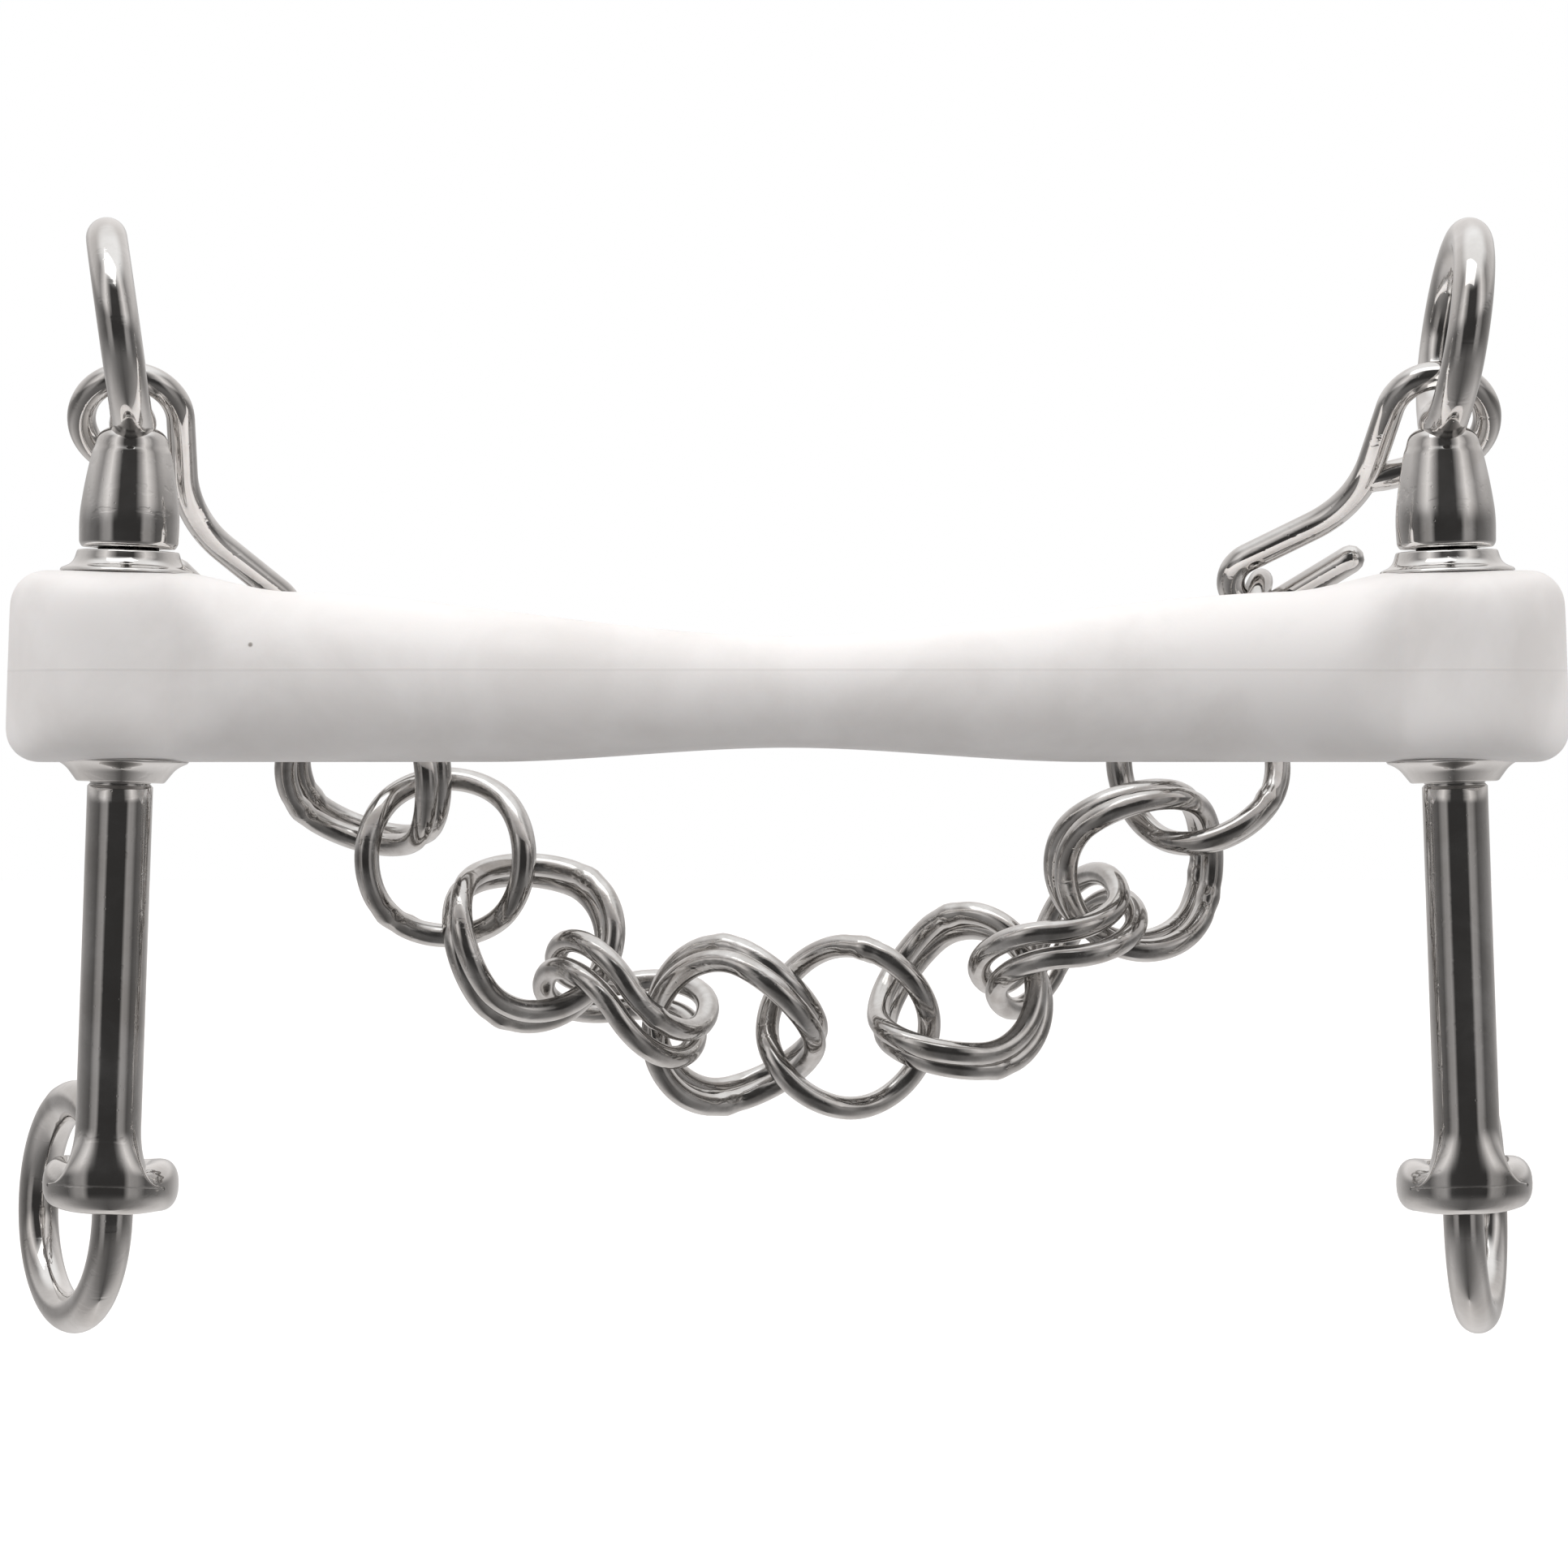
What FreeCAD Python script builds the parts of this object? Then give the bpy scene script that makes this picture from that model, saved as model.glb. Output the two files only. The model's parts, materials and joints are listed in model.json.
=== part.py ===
import FreeCAD, Part
import math
import os

import Sketcher
from FreeCAD import Placement, Rotation, Vector

# A curb bit with turning cheeks: a moulded mouthpiece on a steel core, two cheeks that turn in it,
# loose rein rings, curb hooks, and a double-link curb chain that hangs behind the mouthpiece.
# Millimetres. X runs along the mouthpiece, the wearer's tongue side is -Y, and Z is up.
# The origin is on the mouthpiece, midway between the two cheek axes.

DIMENSIONS = [
    # mouthpiece: its profile at five stations out from the middle
    ("station_waist", 19.0, "second station of the bar, from the middle"),
    ("station_swell", 36.0, "third station"),
    ("station_arm", 52.0, "fourth station"),
    ("station_end", 68.0, "last station, inside the boss"),
    ("top_middle", 3.2, "top of the bar at the middle"),
    ("top_waist", 4.4, "top at the second station"),
    ("top_swell", 6.7, "top at the third station"),
    ("top_arm", 8.3, "top at the fourth station"),
    ("top_end", 8.5, "top at the boss"),
    ("bottom_middle", -9.4, "underside at the middle"),
    ("bottom_waist", -10.3, "underside at the second station"),
    ("bottom_arm", -11.0, "underside of the arms"),
    ("depth_middle", 6.2, "half the bar's depth at the middle"),
    ("depth_waist", 6.8, "half the depth at the second station"),
    ("depth_swell", 8.0, "half the depth at the third station"),
    ("depth_arm", 8.5, "half the depth of the arms"),
    ("mouth_bow", 6.0, "how far the middle of the bar bows forward"),
    ("boss_offset", 1.65, "centre of the boss outside the cheek axis"),
    ("boss_radius", 11.6, "radius of the boss in plan"),
    ("boss_top", 10.9, "half height of the boss"),
    ("boss_shoulder", 8.1, "height where the boss begins to round over"),
    ("boss_lower_end", -10.9, "underside of the boss"),
    ("boss_lower_shoulder", -8.1, "the same shoulder on the underside"),
    ("boss_flat", 8.8, "radius of the flat on each end of the boss"),
    # core and bearings
    ("core_radius", 3.0, "radius of the steel core rod"),
    ("core_half", 62.0, "half the span of the core rod"),
    ("core_height", -2.2, "height of the core rod"),
    ("sleeve_outer", 5.0, "outer radius of the sleeves"),
    ("sleeve_bore", 3.55, "bore radius of the sleeves and flanges"),
    ("flange_wide", 7.6, "radius of a flange at the boss"),
    ("flange_narrow", 5.8, "radius of the upper flange at its face"),
    ("flange_face", 13.1, "height of the upper flange's face"),
    ("lower_narrow", 5.0, "radius of the lower flange at its face"),
    ("lower_face", -13.3, "height of the lower flange's face"),
    # cheeks, in each cheek's own frame with Z along its spindle
    ("cheek_x", 75.65, "cheek axis from the middle"),
    ("cheek_lean", 2.0, "lean of the cheek axis, lower end outward, degrees"),
    ("spindle_radius", 3.5, "radius of the spindle"),
    ("spindle_top", 21.5, "top of the spindle inside the bell"),
    ("bell_foot", 13.4, "underside of the bell"),
    ("bell_foot_radius", 5.65, "radius of the bell at its foot"),
    ("bell_waist", 17.0, "height where the bell starts to narrow"),
    ("bell_middle", 21.0, "height of the bell's middle"),
    ("bell_middle_radius", 5.1, "radius there"),
    ("bell_neck", 24.8, "height of the bell's neck"),
    ("bell_neck_radius", 4.3, "radius there"),
    ("bell_top", 27.3, "top of the bell"),
    ("bell_top_radius", 3.2, "radius there"),
    ("eye_foot", 27.6, "height of the eye's lowest point, on its centre line"),
    ("eye_radius", 10.7, "centre line radius of the bridle eye"),
    ("eye_wire", 2.35, "wire radius of the bridle eye"),
    ("eye_lean", 10.0, "lean of the eye outward from the cheek axis, degrees"),
    ("left_eye_yaw", 4.5, "left eye turned about its own height, front toward +X, degrees"),
    ("right_eye_yaw", 3.0, "the same at the right eye"),
    ("shank_top", -13.4, "shoulder of the shank under the lower flange"),
    ("shank_radius", 3.75, "radius of the shank"),
    ("shank_foot", -57.6, "foot of the shank, inside the rein eye"),
    ("rein_eye_bottom", -62.7, "underside of the rein eye"),
    ("rein_eye_height", 6.2, "height of the rein eye"),
    ("rein_eye_outer", 7.75, "outer end radius of the rein eye"),
    ("rein_eye_inner", 3.5, "end radius of the slot in the rein eye"),
    ("rein_eye_front", 3.5, "centre of the front end radius, behind the spindle's axis"),
    ("rein_eye_back", 7.2, "centre of the back end radius"),
    ("rein_eye_round", 1.9, "rounding of the rein eye's edges"),
    ("rein_ring_radius", 12.4, "centre line radius of a rein ring"),
    ("rein_ring_wire", 2.35, "wire radius of a rein ring"),
    ("rein_pivot_y", 7.0, "where the ring's wire passes through the rein eye"),
    ("rein_pivot_z", -59.6, "height of that place"),
    ("rein_ring_drop", 3.4, "ring centre below that place"),
    ("left_ring_yaw", 26.0, "left ring turned outward at rest, degrees"),
    ("right_ring_yaw", 12.0, "right ring turned outward at rest, degrees"),
    # curb hooks, each in its own plane: x toward the middle of the bit, z up
    ("hook_wire", 1.65, "wire radius of a curb hook"),
    ("hook_loop", 5.7, "centre line radius of its closed loop"),
    ("hook_back", 32.0, "lean of the hook's plane, lower end backward, degrees"),
    ("hook_drop", 0.9, "loop centre below the eye's wire, in the hook's plane"),
    ("hook_inset", -0.1, "loop centre inside the eye's wire"),
    ("hook_corner", 13.0, "length of the upper run to its corner"),
    ("hook_slant", 46.0, "turn of the lower run toward the middle, degrees"),
    ("hook_bend", 14.0, "radius of the bend between the runs"),
    ("hook_run", 14.5, "length of the lower run from the corner"),
    ("hook_turn", 3.6, "centre line radius of the open hook"),
    ("hook_close", 6.0, "how far the open turn goes on past a half circle, degrees"),
    ("hook_tongue", 10.0, "length of the free end"),
    ("loop_sweep", 240.0, "how far round the loop's arc goes before it runs straight to the hook, degrees"),
    ("loop_tail", 9.7, "length of that straight tail"),
    ("left_hook_swing", 0.0, "left hook turned toward the middle in its plane, degrees"),
    ("right_hook_swing", 14.0, "right hook turned toward the middle in its plane, degrees"),
    # chain
    ("link_radius", 9.5, "radius of a link at its ends and sides, on its centre line"),
    ("link_wire", 1.35, "wire radius of a link"),
    ("link_twist", 34.0, "twist of each end of a link out of its middle plane, degrees"),
    ("mate_offset", 1.75, "half the distance between the two links of a pair"),
    ("hook_seat_gap", 0.35, "play between the end ring's wire and the hook"),
    ("left_pull", 30.0, "direction of the chain's pull at the left hook, from straight down, degrees"),
    ("right_pull", 18.0, "the same at the right hook"),
]

# Where the chain hangs between its hooks, as (x, z), and how many pairs it has.
CHAIN_ROUTE = [(-46.5, -15.0), (-33.0, -29.5), (-17.5, -39.5), (-1.5, -43.0),
               (14.5, -41.0), (28.5, -34.5), (40.5, -24.5), (48.5, -10.0)]
END_RING_ROLL = 90.0
# How far each pair is rolled about the chain's line, in degrees: 0 faces the front, 90 is edge-on.
PAIR_ROLLS = [30, 0, -28, -90, -150, -182, -215, -270, -335, -370]

doc = FreeCAD.newDocument("curb_bit")
sheet = doc.addObject("Spreadsheet::Sheet", "dims")
for row, (alias, number, note) in enumerate(DIMENSIONS, start=1):
    sheet.set(f"A{row}", alias)
    sheet.set(f"B{row}", str(number))
    sheet.setAlias(f"B{row}", alias)
    sheet.set(f"C{row}", note)
doc.recompute()
nodes = []


def size(alias):
    """A driving dimension, read back from the sheet."""
    return float(sheet.get(alias))


def bind(thing, **properties):
    """Tie properties of an object to expressions over the sheet."""
    for name, expression in properties.items():
        thing.setExpression(name, expression)


def keep(thing, name, placement=None):
    """Name a sub-part, place it, and list it for export."""
    thing.Label = name
    if placement is not None:
        thing.Placement = placement
    nodes.append(thing)


def cheek_frame(side):
    """A cheek's own frame: Z along its spindle, X outward on the right side and inward on the left."""
    return Placement(Vector(side * size("cheek_x"), 0, 0), Rotation(Vector(0, 1, 0), -side * size("cheek_lean")))


def origin_plane(body, role):
    """One of the three planes of a body's own origin."""
    return next(plane for plane in body.Origin.OriginFeatures if plane.Role == role)


def new_sketch(body, name, role):
    """An empty sketch on one of the body's origin planes."""
    sketch = body.newObject("Sketcher::SketchObject", name)
    sketch.AttachmentSupport = (origin_plane(body, role), "")
    sketch.MapMode = "FlatFace"
    return sketch


def pin(sketch, geometry, point, x_alias, y_alias):
    """Hold a sketch point at (x, y), where each is an alias in the sheet, or None for zero."""
    for kind, alias, axis in (("DistanceX", x_alias, -2), ("DistanceY", y_alias, -1)):
        if alias is None:
            sketch.addConstraint(Sketcher.Constraint("PointOnObject", geometry, point, axis))
            continue
        index = sketch.addConstraint(Sketcher.Constraint(kind, -1, 1, geometry, point, size(alias)))
        sketch.setExpression(f"Constraints[{index}]", f"dims.{alias}")


def value(alias):
    """The number behind an alias, where None stands for zero."""
    return 0.0 if alias is None else size(alias)


def turned(name, outline):
    """A solid of revolution about Z, from a closed outline of (radius, height) aliases."""
    body = doc.addObject("PartDesign::Body", name)
    sketch = new_sketch(body, name + "_outline", "XZ_Plane")
    points = [Vector(value(radius), value(height), 0) for radius, height in outline]
    count = len(points)
    for index in range(count):
        sketch.addGeometry(Part.LineSegment(points[index], points[(index + 1) % count]))
    for index in range(count):
        sketch.addConstraint(Sketcher.Constraint("Coincident", index, 2, (index + 1) % count, 1))
    for index, (radius, height) in enumerate(outline):
        pin(sketch, index, 1, radius, height)
    turn = body.newObject("PartDesign::Revolution", name + "_turn")
    turn.Profile = sketch
    turn.ReferenceAxis = (sketch, ["V_Axis"])
    turn.Angle = 360
    return body


def ring(name, radius_alias, wire_alias, placement):
    """A round ring of round wire; its own axis is Z."""
    torus = doc.addObject("Part::Torus", name)
    bind(torus, Radius1=f"dims.{radius_alias}", Radius2=f"dims.{wire_alias}")
    torus.Placement = placement
    return torus


def axes(origin, x_axis, y_axis):
    """A placement from an origin and two directions at right angles."""
    return Placement(origin, Rotation(x_axis, y_axis, x_axis.cross(y_axis), "XYZ"))


# --- mouthpiece, core and bearings ---------------------------------------------------------------

def bar_section(name, side, station, top, bottom, depth):
    """One oval section of the bar; the middle of the bar bows forward."""
    oval = doc.addObject("Part::Ellipse", name)
    bind(oval, MajorRadius=f"(dims.{top} - dims.{bottom}) / 2", MinorRadius=f"dims.{depth}")
    oval.Placement = Placement(Vector(), Rotation(Vector(0, 1, 0), -90))
    oval.setExpression("Placement.Base.z", f"(dims.{top} + dims.{bottom}) / 2")
    if station is None:
        oval.setExpression("Placement.Base.y", "-dims.mouth_bow")
        return oval
    oval.setExpression("Placement.Base.x", f"{side} * dims.{station}")
    oval.setExpression("Placement.Base.y", f"-dims.mouth_bow * (1 - (dims.{station} / dims.station_end) ^ 2)")
    return oval


def mouthpiece_bar():
    """The oval bar between the bosses, lofted through nine sections."""
    stations = [
        ("station_end", "top_end", "bottom_arm", "depth_arm"),
        ("station_arm", "top_arm", "bottom_arm", "depth_arm"),
        ("station_swell", "top_swell", "bottom_arm", "depth_swell"),
        ("station_waist", "top_waist", "bottom_waist", "depth_waist"),
    ]
    left = [bar_section(f"section_left_{place}", -1, *row) for place, row in enumerate(stations)]
    middle = bar_section("section_middle", 0, None, "top_middle", "bottom_middle", "depth_middle")
    right = [bar_section(f"section_right_{place}", 1, *row) for place, row in enumerate(stations)]
    bar = doc.addObject("Part::Loft", "bar")
    bar.Sections = left + [middle] + right[::-1]
    bar.Solid = True
    return bar


def core_rod(name):
    """The bent steel rod in the mouthpiece: part of a large ring through its ends and its bow."""
    half = size("core_half")
    bow = size("mouth_bow")
    radius = (half ** 2 + bow ** 2) / (2 * bow)
    reach = math.degrees(math.asin(half / radius))
    rod = doc.addObject("Part::Torus", name)
    bind(rod, Radius1="(dims.core_half ^ 2 + dims.mouth_bow ^ 2) / (2 * dims.mouth_bow)",
         Radius2="dims.core_radius", Angle3="4 * atan(dims.mouth_bow / dims.core_half)")
    rod.Placement = Placement(Vector(0, radius - bow, size("core_height")), Rotation(Vector(0, 0, 1), -90 - reach))
    return rod


def build_mouthpiece():
    """The white moulding with its bores, the core rod in it, and the two sleeves and four flanges."""
    solids = [mouthpiece_bar()]
    bores = [core_rod("core_cavity")]
    for side, name in ((-1, "left"), (1, "right")):
        frame = cheek_frame(side)
        boss = turned(name + "_boss", [(None, "boss_lower_end"), ("boss_flat", "boss_lower_end"),
                                       ("boss_radius", "boss_lower_shoulder"), ("boss_radius", "boss_shoulder"),
                                       ("boss_flat", "boss_top"), (None, "boss_top")])
        boss.Placement = frame * Placement(Vector(side * size("boss_offset"), 0, 0), Rotation())
        solids.append(boss)
        bore = doc.addObject("Part::Cylinder", name + "_sleeve_bore")
        bind(bore, Radius="dims.sleeve_outer", Height="2 * dims.boss_top")
        bore.Placement = frame * Placement(Vector(0, 0, -size("boss_top")), Rotation())
        bores.append(bore)
        keep(turned(name + "_sleeve", [("sleeve_bore", "boss_lower_end"), ("sleeve_outer", "boss_lower_end"),
                                       ("sleeve_outer", "boss_top"), ("sleeve_bore", "boss_top")]),
             name + "_sleeve", frame)
        keep(turned(name + "_upper_flange", [("sleeve_bore", "boss_top"), ("flange_wide", "boss_top"),
                                             ("flange_narrow", "flange_face"), ("sleeve_bore", "flange_face")]),
             name + "_upper_flange", frame)
        keep(turned(name + "_lower_flange", [("sleeve_bore", "lower_face"), ("lower_narrow", "lower_face"),
                                             ("flange_wide", "boss_lower_end"), ("sleeve_bore", "boss_lower_end")]),
             name + "_lower_flange", frame)
    whole = doc.addObject("Part::MultiFuse", "moulding")
    whole.Shapes = solids
    hollows = doc.addObject("Part::MultiFuse", "hollows")
    hollows.Shapes = bores
    body = doc.addObject("Part::Cut", "mouthpiece_body")
    body.Base = whole
    body.Tool = hollows
    keep(body, "mouthpiece_body")
    keep(core_rod("core_bar"), "core_bar")


# --- cheeks --------------------------------------------------------------------------------------

def eye_frame(side):
    """The bridle eye in its cheek's frame: Z through the eye's hole, X up across it, turned by its yaw."""
    lean = math.radians(size("eye_lean"))
    up = Vector(side * math.sin(lean), 0, math.cos(lean))
    centre = Vector(0, 0, size("eye_foot")) + up * size("eye_radius")
    yaw = size("left_eye_yaw" if side < 0 else "right_eye_yaw")
    return axes(centre, up, Vector(0, 1, 0)) * Placement(Vector(), Rotation(Vector(1, 0, 0), yaw))


def upper_cheek(side, name):
    """The bell that takes the spindle, forged in one with the round bridle eye."""
    bell = turned(name + "_bell", [
        ("spindle_radius", "bell_foot"), ("bell_foot_radius", "bell_foot"), ("bell_foot_radius", "bell_waist"),
        ("bell_middle_radius", "bell_middle"), ("bell_neck_radius", "bell_neck"), ("bell_top_radius", "bell_top"),
        (None, "bell_top"), (None, "spindle_top"), ("spindle_radius", "spindle_top")])
    eye = ring(name + "_eye", "eye_radius", "eye_wire", eye_frame(side))
    cheek = doc.addObject("Part::MultiFuse", name + "_upper_cheek")
    cheek.Shapes = [bell, eye]
    return cheek


def slot(sketch, radius_alias, first):
    """A closed slot along Y in a sketch, from geometry number first on."""
    radius = size(radius_alias)
    front = size("rein_eye_front")
    back = size("rein_eye_back")
    up = Vector(0, 0, 1)
    sketch.addGeometry(Part.ArcOfCircle(Part.Circle(Vector(0, back, 0), up, radius), 0, math.pi))
    sketch.addGeometry(Part.LineSegment(Vector(-radius, back, 0), Vector(-radius, front, 0)))
    sketch.addGeometry(Part.ArcOfCircle(Part.Circle(Vector(0, front, 0), up, radius), math.pi, 2 * math.pi))
    sketch.addGeometry(Part.LineSegment(Vector(radius, front, 0), Vector(radius, back, 0)))
    for step in range(4):
        sketch.addConstraint(Sketcher.Constraint("Tangent", first + step, 2, first + (step + 1) % 4, 1))
    pin(sketch, first, 3, None, "rein_eye_back")
    pin(sketch, first + 2, 3, None, "rein_eye_front")
    index = sketch.addConstraint(Sketcher.Constraint("Radius", first, radius))
    sketch.setExpression(f"Constraints[{index}]", f"dims.{radius_alias}")


def shank(name):
    """The spindle, the round shank below it and the flat rein eye at its foot, one forging."""
    body = doc.addObject("PartDesign::Body", name + "_shank")
    plan = new_sketch(body, name + "_rein_eye_plan", "XY_Plane")
    plan.AttachmentOffset = Placement(Vector(0, 0, size("rein_eye_bottom")), Rotation())
    plan.setExpression("AttachmentOffset.Base.z", "dims.rein_eye_bottom")
    slot(plan, "rein_eye_outer", 0)
    slot(plan, "rein_eye_inner", 4)
    pad = body.newObject("PartDesign::Pad", name + "_rein_eye")
    pad.Profile = plan
    bind(pad, Length="dims.rein_eye_height")
    doc.recompute()
    rounding = body.newObject("PartDesign::Fillet", name + "_rein_eye_rounding")
    flat = [f"Edge{number}" for number, edge in enumerate(pad.Shape.Edges, start=1)
            if edge.BoundBox.ZLength < 0.01]
    rounding.Base = (pad, flat)
    bind(rounding, Radius="dims.rein_eye_round")
    outline = new_sketch(body, name + "_shank_outline", "XZ_Plane")
    stations = [(None, "shank_foot"), ("shank_radius", "shank_foot"), ("shank_radius", "shank_top"),
                ("spindle_radius", "shank_top"), ("spindle_radius", "spindle_top"), (None, "spindle_top")]
    points = [Vector(value(radius), value(height), 0) for radius, height in stations]
    for index in range(len(points)):
        outline.addGeometry(Part.LineSegment(points[index], points[(index + 1) % len(points)]))
    for index, (radius, height) in enumerate(stations):
        outline.addConstraint(Sketcher.Constraint("Coincident", index, 2, (index + 1) % len(points), 1))
        pin(outline, index, 1, radius, height)
    turn = body.newObject("PartDesign::Revolution", name + "_shank_turn")
    turn.Profile = outline
    turn.ReferenceAxis = (outline, ["V_Axis"])
    turn.Angle = 360
    return body


def rein_ring_frame(side, yaw):
    """A rein ring in its cheek's frame: its wire passes the pivot in the rein eye, its centre is behind."""
    drop = size("rein_ring_drop")
    reach = math.sqrt(size("rein_ring_radius") ** 2 - drop ** 2)
    turn = math.radians(size(yaw))
    back = Vector(side * math.sin(turn), math.cos(turn), 0)
    centre = Vector(0, size("rein_pivot_y"), size("rein_pivot_z") - drop) + back * reach
    return axes(centre, back, Vector(0, 0, 1))


def build_cheeks():
    """Both cheeks and their rein rings."""
    for side, name in ((-1, "left"), (1, "right")):
        frame = cheek_frame(side)
        keep(upper_cheek(side, name), name + "_upper_cheek", frame)
        keep(shank(name), name + "_shank", frame)
        keep(ring(name + "_rein_ring", "rein_ring_radius", "rein_ring_wire", Placement()),
             name + "_rein_ring", frame * rein_ring_frame(side, name + "_ring_yaw"))


# --- curb hooks ----------------------------------------------------------------------------------

def hook_points():
    """The hook's path in its own plane as (x, z): corner, start, centre and end of the open turn, and tip."""
    slant = math.radians(size("hook_slant"))
    along = Vector(math.sin(slant), -math.cos(slant), 0)
    across = Vector(-math.cos(slant), -math.sin(slant), 0)
    corner = Vector(size("hook_loop"), -size("hook_corner"), 0)
    start = corner + along * size("hook_run")
    centre = start + across * size("hook_turn")
    stop = slant - math.pi - math.radians(size("hook_close"))
    end = centre + Vector(math.cos(stop), math.sin(stop), 0) * size("hook_turn")
    tip = end + Vector(math.sin(stop), -math.cos(stop), 0) * size("hook_tongue")
    return corner, start, centre, end, tip


def hook_frame(side, swing):
    """A hook's plane: X toward the middle, Z up along the leaning plane, origin at the loop's centre."""
    back = math.radians(size("hook_back"))
    eye = cheek_frame(side) * eye_frame(side)
    wire = eye.multVec(Vector(-math.cos(back), math.sin(back), 0) * size("eye_radius"))
    down = Vector(0, math.sin(back), -math.cos(back))
    centre = wire + down * size("hook_drop") + Vector(-side * size("hook_inset"), 0, 0)
    turn = math.radians(size(swing))
    inward = Vector(-side, 0, 0)
    x_axis = inward * math.cos(turn) - down * math.sin(turn)
    z_axis = -(inward * math.sin(turn) + down * math.cos(turn))
    return axes(centre, x_axis, z_axis.cross(x_axis))


def wire_circle(body, name):
    """A sketch of the hook wire's round section, level, at the side of the loop."""
    sketch = new_sketch(body, name, "XY_Plane")
    sketch.addGeometry(Part.Circle(Vector(size("hook_loop"), 0, 0), Vector(0, 0, 1), size("hook_wire")))
    pin(sketch, 0, 3, "hook_loop", None)
    index = sketch.addConstraint(Sketcher.Constraint("Radius", 0, size("hook_wire")))
    sketch.setExpression(f"Constraints[{index}]", "dims.hook_wire")
    return sketch


def swept_wire(body, name, pieces):
    """The hook's wire carried along a path of lines and arcs in the hook's plane."""
    path = new_sketch(body, name + "_path", "XZ_Plane")
    for index, piece in enumerate(pieces):
        path.addGeometry(piece)
        path.addConstraint(Sketcher.Constraint("Block", index))
    sweep = body.newObject("PartDesign::AdditivePipe", name)
    sweep.Profile = wire_circle(body, name + "_section")
    sweep.Spine = (path, [])


def curb_hook(name):
    """One bent wire. From the side of the loop it runs down, bends, runs on and turns back to its rounded
    free end; the other way it goes round the loop and straight back to the first run, which closes it."""
    corner, start, centre, end, tip = hook_points()
    loop = size("hook_loop")
    bend = size("hook_bend")
    slant = math.radians(size("hook_slant"))
    sweep = math.radians(size("loop_sweep"))
    setback = bend * math.tan(slant / 2)
    bend_start = corner + Vector(0, setback, 0)
    bend_end = corner + Vector(math.sin(slant), -math.cos(slant), 0) * setback
    loop_end = Vector(math.cos(sweep), math.sin(sweep), 0) * loop
    tail = loop_end + Vector(-math.sin(sweep), math.cos(sweep), 0) * size("loop_tail")
    up = Vector(0, 0, 1)
    body = doc.addObject("PartDesign::Body", name)
    swept_wire(body, name + "_loop", [
        Part.ArcOfCircle(Part.Circle(Vector(), up, loop), 0, sweep),
        Part.LineSegment(loop_end, tail)])
    swept_wire(body, name + "_run", [
        Part.LineSegment(Vector(loop, 0, 0), bend_start),
        Part.ArcOfCircle(Part.Circle(bend_start + Vector(bend, 0, 0), up, bend), math.pi, math.pi + slant),
        Part.LineSegment(bend_end, start),
        Part.ArcOfCircle(Part.Circle(centre, up, size("hook_turn")),
                         slant - math.pi - math.radians(size("hook_close")), slant),
        Part.LineSegment(end, tip)])
    end_ball = body.newObject("PartDesign::AdditiveSphere", name + "_tip")
    bind(end_ball, Radius="dims.hook_wire")
    end_ball.Placement = Placement(Vector(tip.x, 0, tip.y), Rotation())
    return body


def hook_seat(side, swing, pull):
    """Where the chain pulls on the open turn's centre line."""
    angle = math.radians(size(pull))
    back = math.radians(size("hook_back"))
    frame = hook_frame(side, swing)
    down = Vector(0, math.sin(back), -math.cos(back))
    toward = Vector(-side * math.sin(angle), 0, 0) + down * math.cos(angle)
    centre = hook_points()[2]
    middle = frame.multVec(Vector(centre.x, 0, centre.y))
    return middle + toward * size("hook_turn")


def build_hooks():
    """Both curb hooks on their bridle eyes."""
    for side, name in ((-1, "left"), (1, "right")):
        keep(curb_hook(name + "_curb_hook"), name + "_curb_hook", hook_frame(side, name + "_hook_swing"))


# --- curb chain ----------------------------------------------------------------------------------

def twisted_link():
    """One link: four equal arcs round a circle, whose two ends are twisted opposite ways."""
    radius = size("link_radius")
    twist = math.radians(size("link_twist"))
    end = Vector(radius, 0, 0)
    side = Vector(0, radius, 0)
    corners = [
        (end, Vector(0, math.cos(twist), math.sin(twist)), side),
        (side, Vector(-math.cos(twist), 0, -math.sin(twist)), -end),
        (-end, Vector(0, -math.cos(twist), math.sin(twist)), -side),
        (-side, Vector(math.cos(twist), 0, -math.sin(twist)), end),
    ]
    arcs = []
    for number, (start, tangent, finish) in enumerate(corners):
        chord = finish - start
        half_turn = tangent.getAngle(chord)
        inward = (chord - tangent * chord.dot(tangent)).normalize()
        arc_radius = chord.Length / (2 * math.sin(half_turn))
        arc = doc.addObject("Part::Torus", f"link_arc_{number}")
        bind(arc, Radius1="dims.link_radius / sqrt(1 + sin(dims.link_twist) ^ 2)",
             Radius2="dims.link_wire", Angle3="2 * acos(cos(dims.link_twist) / sqrt(2))")
        arc.Placement = axes(start + inward * arc_radius, -inward, tangent)
        arcs.append(arc)
    link = doc.addObject("Part::MultiFuse", "link_pattern")
    link.Shapes = arcs
    return link


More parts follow.
